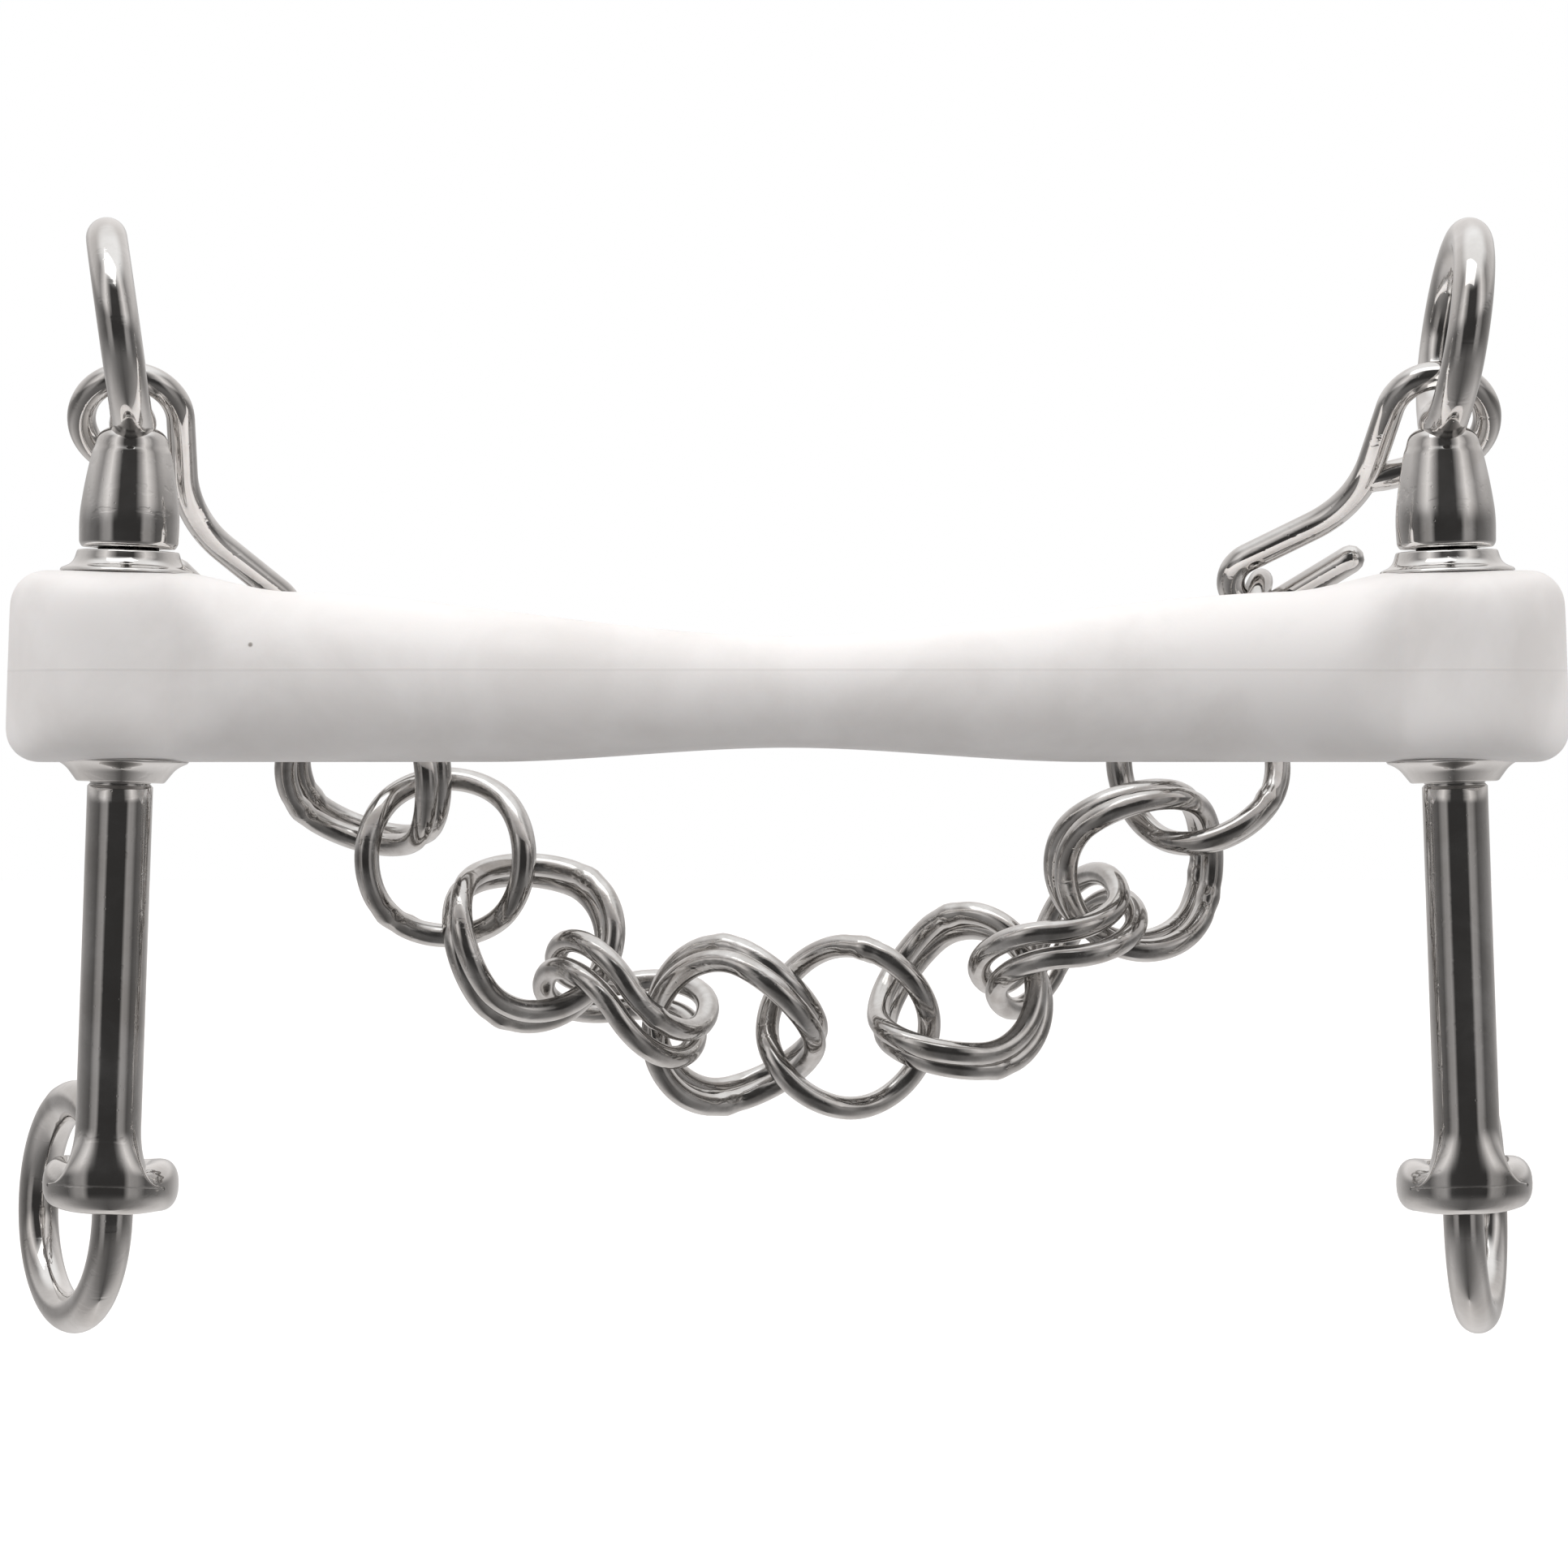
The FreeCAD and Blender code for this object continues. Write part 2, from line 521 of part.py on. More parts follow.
def chain_frames():
    """Frames of the end rings and pairs, at one pitch along the route: X along it, Z out of the ring."""
    left = hook_seat(-1, "left_hook_swing", "left_pull")
    right = hook_seat(1, "right_hook_swing", "right_pull")
    route = [Vector(left.x, 0, left.z)] + [Vector(x, 0, z) for x, z in CHAIN_ROUTE] + [Vector(right.x, 0, right.z)]
    lengths = [(after - before).Length for before, after in zip(route, route[1:])]
    head = size("link_radius") - size("link_wire") - size("hook_wire") - size("hook_seat_gap")
    count = len(PAIR_ROLLS) + 2
    pitch = (sum(lengths) - 2 * head) / (count - 1)
    centres = []
    for number in range(count):
        travel = head + pitch * number
        piece = 0
        while travel > lengths[piece]:
            travel -= lengths[piece]
            piece += 1
        spot = route[piece] + (route[piece + 1] - route[piece]) * (travel / lengths[piece])
        spot.y = left.y + (right.y - left.y) * number / (count - 1)
        centres.append(spot)
    frames = []
    for number, roll in enumerate([END_RING_ROLL] + PAIR_ROLLS + [END_RING_ROLL]):
        before = centres[number - 1] if number else left
        after = centres[number + 1] if number < count - 1 else right
        along = (after - before).normalize()
        out = Vector(0, -1, 0)
        out = (out - along * out.dot(along)).normalize()
        flat = axes(centres[number], along, out.cross(along))
        frames.append(flat * Placement(Vector(), Rotation(Vector(1, 0, 0), roll)))
    return frames


def build_chain():
    """Two plain end rings in the hooks and ten pairs of twisted links between them."""
    frames = chain_frames()
    keep(ring("chain_end_left", "link_radius", "link_wire", frames[0]), "chain_end_ring_left")
    keep(ring("chain_end_right", "link_radius", "link_wire", frames[-1]), "chain_end_ring_right")
    pattern = twisted_link()
    doc.recompute()
    for number, frame in enumerate(frames[1:-1], start=1):
        for letter, offset in (("a", size("mate_offset")), ("b", -size("mate_offset"))):
            name = f"chain_link_{number:02d}{letter}"
            link = doc.addObject("Part::Feature", name)
            link.Shape = pattern.Shape.copy()
            keep(link, name, frame * Placement(Vector(0, 0, offset), Rotation()))


def export():
    """Check every object and every sub-part, then write each sub-part to its own file."""
    doc.recompute()
    broken = [thing.Name for thing in doc.Objects if {"Invalid", "Error"} & set(thing.State)]
    if broken:
        raise RuntimeError("these objects failed: " + ", ".join(broken))
    os.makedirs("parts", exist_ok=True)
    for node in nodes:
        if node.Shape.isNull() or not node.Shape.isValid():
            raise RuntimeError(node.Label + " has no valid shape")
        node.Shape.exportStep(f"parts/{node.Label}.step")
        print(f"{node.Label:24s} {len(node.Shape.Solids)} solid, {node.Shape.Volume:9.1f} mm3")


build_mouthpiece()
build_cheeks()
build_hooks()
build_chain()
export()
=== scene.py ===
import json
import math

import bpy
import numpy as np
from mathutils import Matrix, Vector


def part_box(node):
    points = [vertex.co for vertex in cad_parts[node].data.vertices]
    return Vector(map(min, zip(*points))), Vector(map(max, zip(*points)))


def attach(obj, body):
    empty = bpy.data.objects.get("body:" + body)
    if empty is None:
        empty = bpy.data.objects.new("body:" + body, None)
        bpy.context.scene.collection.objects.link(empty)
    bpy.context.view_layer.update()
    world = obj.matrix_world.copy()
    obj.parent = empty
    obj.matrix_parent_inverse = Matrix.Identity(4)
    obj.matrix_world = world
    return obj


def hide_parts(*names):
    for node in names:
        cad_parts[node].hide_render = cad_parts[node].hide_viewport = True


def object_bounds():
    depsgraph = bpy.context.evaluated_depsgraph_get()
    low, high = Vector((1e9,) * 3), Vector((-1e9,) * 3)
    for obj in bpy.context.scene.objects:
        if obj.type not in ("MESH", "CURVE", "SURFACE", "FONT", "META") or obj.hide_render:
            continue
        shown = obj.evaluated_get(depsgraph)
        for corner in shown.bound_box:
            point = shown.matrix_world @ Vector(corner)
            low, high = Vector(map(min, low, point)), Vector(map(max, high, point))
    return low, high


# A curb bit: moulded mouthpiece, turning steel cheeks, loose rein rings, curb hooks and curb chain.
# Metres throughout; MM turns millimetres into metres.

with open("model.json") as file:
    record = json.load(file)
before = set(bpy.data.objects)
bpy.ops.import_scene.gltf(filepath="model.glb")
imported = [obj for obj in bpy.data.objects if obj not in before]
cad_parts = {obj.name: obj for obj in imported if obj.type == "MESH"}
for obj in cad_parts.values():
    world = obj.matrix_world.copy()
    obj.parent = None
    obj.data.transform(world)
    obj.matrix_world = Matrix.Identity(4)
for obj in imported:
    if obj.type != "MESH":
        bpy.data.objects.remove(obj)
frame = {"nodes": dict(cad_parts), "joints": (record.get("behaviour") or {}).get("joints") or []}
cad_low, cad_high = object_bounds()
MM = 0.001
SIDES = {"left": -1.0, "right": 1.0}
JOINTS = {joint["name"]: joint for joint in frame["joints"]}

# mouthpiece
BAR_HALF = 68.0 * MM            # the bar's bow ends here, inside the boss
BAR_BOW = 6.0 * MM
BOSS_CENTRE = 77.3 * MM
BOSS_RADIUS = 11.6 * MM
BOSS_HALF_HEIGHT = 10.9 * MM
BOSS_CORNER = 4.2 * MM
CHEEK_LEAN = math.radians(2.0)
SLEEVE_RADIUS = 5.0 * MM
SLEEVE_BORE = 3.55 * MM

# cheeks
SPINDLE_RADIUS = 3.5 * MM
SPINDLE_TOP = 21.5 * MM
SHANK_RADIUS = 3.75 * MM
SHANK_TOP = -13.4 * MM
EYE_RADIUS = 10.7 * MM
EYE_WIRE = 2.35 * MM
EYE_FOOT = 27.6 * MM
EYE_YAW = {"left": math.radians(4.5), "right": math.radians(3.0)}
REIN_RING_RADIUS = 12.4 * MM
REIN_EYE_FRONT = 3.5 * MM       # centres of the two half circles of its plan
REIN_EYE_BACK = 7.2 * MM
REIN_EYE_RADIUS = 5.6 * MM
REIN_EYE_WALL = 2.12 * MM
REIN_EYE_MIDDLE = -59.85 * MM
REIN_EYE_HALF_HEIGHT = 2.95 * MM
FOOT_HALF_WIDTH = 3.1 * MM      # how far the shank's foot spreads past its own radius

# curb hooks, in their own plane
HOOK_WIRE = 1.65 * MM
HOOK_LOOP = 5.7 * MM
HOOK_BACK = math.radians(32.0)
HOOK_DROP = 0.9 * MM
HOOK_INSET = -0.1 * MM
HOOK_CORNER = 13.0 * MM
HOOK_SLANT = math.radians(46.0)
HOOK_BEND = 14.0 * MM
HOOK_RUN = 14.5 * MM
HOOK_TURN = 3.6 * MM
HOOK_CLOSE = math.radians(6.0)
HOOK_TONGUE = 10.0 * MM
LOOP_SWEEP = math.radians(240.0)
LOOP_TAIL = 9.7 * MM
HOOK_SWING = {"left": 0.0, "right": math.radians(14.0)}

# curb chain
LINK_RADIUS = 9.5 * MM
LINK_WIRE = 1.35 * MM
LINK_TWIST = math.radians(34.0)
MATE_OFFSET = 1.75 * MM
PAIR_ROLLS = [30, 0, -28, -90, -150, -182, -215, -270, -335, -370]     # degrees


# --- arrays and meshes ---------------------------------------------------------------------------

def unit(vectors):
    """Vectors scaled to length one."""
    vectors = np.asarray(vectors, float)
    return vectors / np.linalg.norm(vectors, axis=-1, keepdims=True)


def smooth(values, low, high):
    """A smooth step: 0 below low, 1 above high, and 3t2 - 2t3 between."""
    t = np.clip((values - low) / (high - low), 0.0, 1.0)
    return t * t * (3.0 - 2.0 * t)


def placed(points, origin, x_axis, y_axis, z_axis):
    """Points from a local frame, moved to where its origin and axes are."""
    return origin + points[..., :1] * x_axis + points[..., 1:2] * y_axis + points[..., 2:] * z_axis


def shell(grid, ring=False):
    """Vertices and faces of a grid of rings. The rings close round; the grid's ends meet if ring is
    true, and otherwise each end is closed by a fan to the middle of its last ring. Faces point
    outwards: the volume they enclose, the sum of a.(b x c) / 6 over the faces, comes out positive."""
    rows, columns = grid.shape[:2]
    row = np.arange(rows if ring else rows - 1)[:, None]
    column = np.arange(columns)[None, :]
    next_row = (row + 1) % rows
    next_column = (column + 1) % columns
    corners = (row * columns + column, row * columns + next_column,
               next_row * columns + next_column, next_row * columns + column)
    quads = np.stack(corners, axis=-1).reshape(-1, 4)
    vertices = grid.reshape(-1, 3)
    a, b, c, d = (vertices[quads[:, corner]] - vertices.mean(axis=0) for corner in range(4))
    volume = ((np.cross(b, c) + np.cross(c, d)) * a).sum()
    faces = quads.tolist()
    if not ring:
        around = np.arange(columns)
        after = (around + 1) % columns
        first = np.full(columns, rows * columns)
        last = (rows - 1) * columns
        faces += np.stack((first, after, around), axis=-1).tolist()
        faces += np.stack((first + 1, last + around, last + after), axis=-1).tolist()
        vertices = np.concatenate((vertices, grid[:1].mean(axis=1), grid[-1:].mean(axis=1)))
    if volume < 0:
        faces = [face[::-1] for face in faces]
    return vertices, faces


def mesh_piece(name, shells):
    """An object at the origin whose mesh is made of the given shells, shaded smooth."""
    vertices = []
    faces = []
    for points, quads in shells:
        start = sum(len(part) for part in vertices)
        vertices.append(points)
        faces += [[corner + start for corner in face] for face in quads]
    mesh = bpy.data.meshes.new(name)
    mesh.from_pydata(np.concatenate(vertices).tolist(), [], faces)
    mesh.polygons.foreach_set("use_smooth", np.ones(len(mesh.polygons), bool))
    mesh.update()
    piece = bpy.data.objects.new(name, mesh)
    bpy.context.scene.collection.objects.link(piece)
    return piece


def finish_piece(piece, body, node, material):
    """Give a piece its finish, parent it to the empty of the body that carries it and hide the CAD node it stands
    for.
    """
    piece.data.materials.append(material)
    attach(piece, body)
    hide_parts(node)
    return piece


def turned(profile, columns=72):
    """A profile of (radius, height) carried round Z: x = r cos a, y = r sin a, z = height."""
    angle = np.linspace(0, 2 * np.pi, columns, endpoint=False)
    radius = profile[:, :1]
    height = np.repeat(profile[:, 1:], columns, axis=1)
    return np.stack((radius * np.cos(angle), radius * np.sin(angle), height), axis=-1)


def rounded(corners, radii, steps=6):
    """A line through corners whose turns are eased: each is a parabola from one setback to the next."""
    corners = np.asarray(corners, float)
    line = [corners[:1]]
    ease = np.linspace(0, 1, steps)[:, None]
    for before, corner, after, radius in zip(corners, corners[1:], corners[2:], radii):
        start = corner + unit(before - corner) * min(radius, np.linalg.norm(before - corner) / 2)
        end = corner + unit(after - corner) * min(radius, np.linalg.norm(after - corner) / 2)
        line.append(start * (1 - ease) ** 2 + 2 * corner * ease * (1 - ease) + end * ease ** 2)
    line.append(corners[-1:])
    return np.concatenate(line)


def wire(path, across, radius, closed=False, columns=24):
    """A round wire carried along a path. At each point its section is a circle of the given radius,
    spanned by the direction across the path and the direction square to both."""
    if closed:
        along = unit(np.roll(path, -1, axis=0) - np.roll(path, 1, axis=0))
    else:
        along = unit(np.gradient(path, axis=0))
    across = unit(across - along * (across * along).sum(axis=-1, keepdims=True))
    third = np.cross(along, across)
    angle = np.linspace(0, 2 * np.pi, columns, endpoint=False)
    radius = np.broadcast_to(radius, (len(path),))[:, None, None]
    ring = np.cos(angle)[None, :, None] * across[:, None, :]
    ring = ring + np.sin(angle)[None, :, None] * third[:, None, :]
    return path[:, None, :] + radius * ring


def cheek_axes(name):
    """Origin and axes of a cheek: Z along the joint it turns on."""
    joint = JOINTS[name + "_cheek_swivel"]
    z_axis = np.array(joint["axis"], float)
    y_axis = np.array([0.0, 1.0, 0.0])
    return np.array(joint["pos_m"], float), np.cross(y_axis, z_axis), y_axis, z_axis


def eye_axes(name):
    """Centre, upward and backward directions of a bridle eye. It stands on the bell in line with its own
    centre, and its backward direction is Y turned about that line by the eye's yaw."""
    centre = np.array(JOINTS[name + "_hook_swing"]["pos_m"], float)
    origin, _, y_axis, z_axis = cheek_axes(name)
    up = unit(centre - origin - z_axis * EYE_FOOT)
    yaw = EYE_YAW[name]
    return centre, up, y_axis * math.cos(yaw) + np.cross(up, y_axis) * math.sin(yaw)


# --- finishes ------------------------------------------------------------------------------------

def node(tree, kind, inputs=None, **settings):
    """A shader node with its settings and unlinked inputs filled in."""
    made = tree.nodes.new(kind)
    for name, setting in settings.items():
        setattr(made, name, setting)
    for name, value in (inputs or {}).items():
        made.inputs[name].default_value = value
    return made


def new_group(name, inputs, outputs):
    """An empty node group with value inputs and named outputs."""
    tree = bpy.data.node_groups.new(name, "ShaderNodeTree")
    for label, start in inputs:
        socket = tree.interface.new_socket(label, in_out="INPUT", socket_type="NodeSocketFloat")
        socket.default_value = start
    for label, kind in outputs:
        tree.interface.new_socket(label, in_out="OUTPUT", socket_type=kind)
    return tree, tree.nodes.new("NodeGroupInput"), tree.nodes.new("NodeGroupOutput")


def handling_marks():
    """Smudges, hair scratches and pin pits over a worn surface, as a roughness, a height and a tone."""
    tree, given, out = new_group(
        "handling_marks",
        [("Smudge Scale", 120.0), ("Scratch Scale", 400.0), ("Smooth", 0.06), ("Dull", 0.2)],
        [("Roughness", "NodeSocketFloat"), ("Height", "NodeSocketFloat"), ("Tone", "NodeSocketFloat")])
    link = tree.links.new
    place = node(tree, "ShaderNodeTexCoord")
    smudge = node(tree, "ShaderNodeTexNoise", {"Detail": 5.0, "Roughness": 0.6, "Distortion": 0.4})
    link(place.outputs["Object"], smudge.inputs["Vector"])
    link(given.outputs["Smudge Scale"], smudge.inputs["Scale"])
    dull = node(tree, "ShaderNodeMapRange", {"From Min": 0.42, "From Max": 0.72}, interpolation_type="SMOOTHSTEP")
    link(smudge.outputs["Fac"], dull.inputs["Value"])
    link(given.outputs["Smooth"], dull.inputs["To Min"])
    link(given.outputs["Dull"], dull.inputs["To Max"])
    stretch = node(tree, "ShaderNodeMapping", {"Rotation": (0.5, 0.9, 0.3), "Scale": (0.06, 1.0, 1.0)})
    link(place.outputs["Object"], stretch.inputs["Vector"])
    hair = node(tree, "ShaderNodeTexNoise", {"Detail": 2.0, "Roughness": 0.5})
    link(stretch.outputs["Vector"], hair.inputs["Vector"])
    link(given.outputs["Scratch Scale"], hair.inputs["Scale"])
    scratch = node(tree, "ShaderNodeMapRange", {"From Min": 0.60, "From Max": 0.68, "To Min": 0.0, "To Max": -1.0})
    link(hair.outputs["Fac"], scratch.inputs["Value"])
    pits = node(tree, "ShaderNodeTexVoronoi", {"Scale": 900.0, "Randomness": 1.0})
    link(place.outputs["Object"], pits.inputs["Vector"])
    pit = node(tree, "ShaderNodeMapRange", {"From Min": 0.05, "From Max": 0.12, "To Min": -0.8, "To Max": 0.0})
    link(pits.outputs["Distance"], pit.inputs["Value"])
    height = node(tree, "ShaderNodeMath", operation="ADD")
    link(scratch.outputs["Result"], height.inputs[0])
    link(pit.outputs["Result"], height.inputs[1])
    tone = node(tree, "ShaderNodeMapRange", {"From Min": 0.3, "From Max": 0.7, "To Min": 0.0, "To Max": 1.0})
    link(smudge.outputs["Fac"], tone.inputs["Value"])
    link(dull.outputs["Result"], out.inputs["Roughness"])
    link(height.outputs["Value"], out.inputs["Height"])
    link(tone.outputs["Result"], out.inputs["Tone"])
    return tree


MARKS = handling_marks()


def steel(name, light, dark, smooth_finish, dull_finish, scratch_depth, smudge_scale):
    """Polished steel: bright metal whose tone and gloss drift a little, with hair scratches in it."""
    material = bpy.data.materials.new(name)
    material.use_nodes = True
    tree = material.node_tree
    link = tree.links.new
    shader = tree.nodes["Principled BSDF"]
    shader.inputs["Metallic"].default_value = 1.0
    marks = node(tree, "ShaderNodeGroup", node_tree=MARKS)
    marks.inputs["Smudge Scale"].default_value = smudge_scale
    marks.inputs["Scratch Scale"].default_value = 700.0
    marks.inputs["Smooth"].default_value = smooth_finish
    marks.inputs["Dull"].default_value = dull_finish
    tint = node(tree, "ShaderNodeMix", {}, data_type="RGBA")
    tint.inputs[6].default_value = (*dark, 1.0)
    tint.inputs[7].default_value = (*light, 1.0)
    link(marks.outputs["Tone"], tint.inputs[0])
    link(tint.outputs[2], shader.inputs["Base Color"])
    link(marks.outputs["Roughness"], shader.inputs["Roughness"])
    bump = node(tree, "ShaderNodeBump", {"Strength": 0.35, "Distance": scratch_depth})
    link(marks.outputs["Height"], bump.inputs["Height"])
    link(bump.outputs["Normal"], shader.inputs["Normal"])
    return material


def mouth_plastic():
    """Matt white moulded plastic: a fine mould grain, a faint parting line, cloudy tone and a few specks."""
    material = bpy.data.materials.new("moulded_white_plastic")
    material.use_nodes = True
    tree = material.node_tree
    link = tree.links.new
    shader = tree.nodes["Principled BSDF"]
    shader.inputs["Subsurface Weight"].default_value = 0.08
    shader.inputs["Subsurface Radius"].default_value = (0.002, 0.0015, 0.0012)
    shader.inputs["Specular IOR Level"].default_value = 0.4
    place = node(tree, "ShaderNodeTexCoord")
    cloud = node(tree, "ShaderNodeTexNoise", {"Scale": 55.0, "Detail": 6.0, "Roughness": 0.55, "Distortion": 0.3})
    link(place.outputs["Object"], cloud.inputs["Vector"])
    tone = node(tree, "ShaderNodeMix", {}, data_type="RGBA")
    tone.inputs[6].default_value = (0.80, 0.785, 0.775, 1.0)
    tone.inputs[7].default_value = (0.90, 0.89, 0.885, 1.0)
    spread = node(tree, "ShaderNodeMapRange", {"From Min": 0.35, "From Max": 0.6})
    link(cloud.outputs["Fac"], spread.inputs["Value"])
    link(spread.outputs["Result"], tone.inputs[0])
    specks = node(tree, "ShaderNodeTexVoronoi", {"Scale": 85.0, "Randomness": 1.0})
    link(place.outputs["Object"], specks.inputs["Vector"])
    speck = node(tree, "ShaderNodeMapRange", {"From Min": 0.018, "From Max": 0.032, "To Min": 1.0, "To Max": 0.0})
    link(specks.outputs["Distance"], speck.inputs["Value"])
    spotted = node(tree, "ShaderNodeMix", {}, data_type="RGBA")
    spotted.inputs[7].default_value = (0.35, 0.32, 0.30, 1.0)
    link(speck.outputs["Result"], spotted.inputs[0])
    link(tone.outputs[2], spotted.inputs[6])
    parts = node(tree, "ShaderNodeSeparateXYZ")
    link(place.outputs["Object"], parts.inputs[0])
    off = node(tree, "ShaderNodeMath", {1: 0.6 * MM}, operation="ADD")
    link(parts.outputs["Z"], off.inputs[0])
    away = node(tree, "ShaderNodeMath", operation="ABSOLUTE")
    link(off.outputs["Value"], away.inputs[0])
    seam = node(tree, "ShaderNodeMapRange",
                {"From Min": 0.05 * MM, "From Max": 0.22 * MM, "To Min": 1.0, "To Max": 0.0})
    link(away.outputs["Value"], seam.inputs["Value"])
    seam_tone = node(tree, "ShaderNodeMix", {}, data_type="RGBA")
    seam_tone.inputs[7].default_value = (0.72, 0.70, 0.69, 1.0)
    faint = node(tree, "ShaderNodeMath", {1: 0.35}, operation="MULTIPLY")
    link(seam.outputs["Result"], faint.inputs[0])
    link(faint.outputs["Value"], seam_tone.inputs[0])
    link(spotted.outputs[2], seam_tone.inputs[6])
    link(seam_tone.outputs[2], shader.inputs["Base Color"])
    gloss = node(tree, "ShaderNodeMapRange", {"To Min": 0.34, "To Max": 0.48})
    link(cloud.outputs["Fac"], gloss.inputs["Value"])
    link(gloss.outputs["Result"], shader.inputs["Roughness"])
    grain = node(tree, "ShaderNodeTexNoise", {"Scale": 2600.0, "Detail": 3.0})
    link(place.outputs["Object"], grain.inputs["Vector"])
    raised = node(tree, "ShaderNodeMath", {1: 1.6}, operation="MULTIPLY_ADD")
    link(seam.outputs["Result"], raised.inputs[0])
    link(grain.outputs["Fac"], raised.inputs[2])
    bump = node(tree, "ShaderNodeBump", {"Strength": 0.25, "Distance": 0.03 * MM})
    link(raised.outputs["Value"], bump.inputs["Height"])
    link(bump.outputs["Normal"], shader.inputs["Normal"])
    return material


PLASTIC = mouth_plastic()
FORGED = steel("polished_forged_steel", (0.82, 0.81, 0.80), (0.66, 0.64, 0.62), 0.05, 0.16, 0.02 * MM, 130.0)
CHAIN = steel("tumbled_chain_steel", (0.74, 0.73, 0.72), (0.54, 0.52, 0.50), 0.09, 0.24, 0.03 * MM, 320.0)
DRAWN = steel("drawn_core_steel", (0.55, 0.54, 0.53), (0.42, 0.41, 0.40), 0.28, 0.45, 0.03 * MM, 200.0)


# --- mouthpiece ----------------------------------------------------------------------------------

def half_sizes(x):
    """Half depth, top, bottom and squareness of the mouthpiece's section at each x.
    The bar is an oval that narrows to a waist at the middle; each boss is a rounded upright drum, so
    there the half depth follows a circle in plan and the section is squared. A soft maximum joins them."""
    reach = np.abs(x)
    waist = smooth(reach, 0.0, 62 * MM)
    depth = 6.2 * MM + (8.5 - 6.2) * MM * smooth(reach, 0.0, 50 * MM)
    top = 3.2 * MM + (8.5 - 3.2) * MM * waist ** 0.92 + 2.3 * MM * smooth(reach, 57 * MM, 71 * MM)
    bottom = 9.4 * MM + 1.6 * MM * smooth(reach, 0.0, 34 * MM)
    inside = np.clip(1.0 - ((reach - BOSS_CENTRE) / BOSS_RADIUS) ** 2, 0.0, 1.0)
    drum = BOSS_RADIUS * np.sqrt(inside)
    bar = depth * (1.0 - smooth(reach, BOSS_CENTRE, BOSS_CENTRE + 2 * MM))
    sharp = 3.0 / MM
    joined = np.log(np.exp(sharp * bar) + np.exp(sharp * drum)) / sharp
    trim = np.log(2.0) / sharp
    joined = np.where(reach > BOSS_CENTRE, drum, joined - trim * np.exp(-np.abs(bar - drum) * sharp))
    square = 2.0 + 2.6 * smooth(reach, 62 * MM, 74 * MM)
    return joined, top, bottom, square


def mouthpiece():
    """The white moulding: squared ovals carried along X, closer together where the boss rounds over."""
    bar = np.linspace(-BOSS_CENTRE, BOSS_CENTRE, 260)
    turn = np.linspace(0, np.pi / 2 - 0.012, 44)[1:]
    end = BOSS_CENTRE + BOSS_RADIUS * np.sin(turn)
    x = np.concatenate((-end[::-1], bar, end))
    depth, top, bottom, square = half_sizes(x)
    edge = np.clip((np.abs(x) - (BOSS_CENTRE + BOSS_RADIUS - BOSS_CORNER)) / BOSS_CORNER, 0.0, 1.0)
    drop = BOSS_CORNER * (1.0 - np.sqrt(1.0 - edge ** 2))
    top = top - drop
    bottom = bottom - drop
    angle = np.linspace(0, 2 * np.pi, 128, endpoint=False)
    power = 2.0 / square[:, None]
    y = depth[:, None] * np.sign(np.cos(angle)) * np.abs(np.cos(angle)) ** power
    rise = np.sign(np.sin(angle)) * np.abs(np.sin(angle)) ** power
    z = (top - bottom)[:, None] / 2 + (top + bottom)[:, None] / 2 * rise
    bow = -BAR_BOW * (1.0 - np.clip(np.abs(x) / BAR_HALF, 0.0, 1.0) ** 2)
    y = y + bow[:, None]
    lean = np.tan(CHEEK_LEAN) * np.sign(x)[:, None] * smooth(np.abs(x), 66 * MM, 76 * MM)[:, None]
    along = np.repeat(x[:, None], len(angle), axis=1) - lean * z
    grid = np.stack((along, y, z), axis=-1)
    piece = mesh_piece("mouthpiece_moulding", [shell(grid)])
    for name in SIDES:
        origin, x_axis, y_axis, z_axis = cheek_axes(name)
        profile = np.array([[SLEEVE_RADIUS, -15 * MM], [SLEEVE_RADIUS, 15 * MM]])
        drill = mesh_piece("drill", [shell(placed(turned(profile), origin, x_axis, y_axis, z_axis))])
        cut = piece.modifiers.new("bore", "BOOLEAN")
        cut.operation = "DIFFERENCE"
        cut.solver = "EXACT"
        cut.object = drill
        depsgraph = bpy.context.evaluated_depsgraph_get()
        bored = bpy.data.meshes.new_from_object(piece.evaluated_get(depsgraph))
        piece.modifiers.clear()
        piece.data = bored
        bpy.data.objects.remove(drill)
    return finish_piece(piece, "mouthpiece", "mouthpiece_body", PLASTIC)


def flanges():
    """The four cone-shaped steel flanges on the ends of the bosses, with eased rims."""
    for name in SIDES:
        axes = cheek_axes(name)
        for place, sign, face, narrow, waist in (("upper", 1.0, 13.1 * MM, 5.8 * MM, 0.45 * MM),
                                                 ("lower", -1.0, 13.3 * MM, 5.0 * MM, 1.35 * MM)):
            foot = BOSS_HALF_HEIGHT - 0.3 * MM
            outline = rounded([(SLEEVE_BORE, foot), (7.75 * MM, foot), (7.65 * MM, foot + 0.35 * MM),
                               (narrow + waist, foot + 0.95 * MM), (narrow, face), (SLEEVE_BORE, face),
                               (SLEEVE_BORE, foot + 0.5 * MM)],
                              [0.2 * MM, 0.2 * MM, 0.8 * MM, 0.25 * MM, 0.3 * MM], 6)
            outline[:, 1] *= sign
            grid = turned(outline)
            piece = mesh_piece(f"{name}_{place}_steel_flange", [shell(placed(grid, *axes), ring=True)])
            finish_piece(piece, "mouthpiece", f"{name}_{place}_flange", FORGED)


# --- cheeks --------------------------------------------------------------------------------------

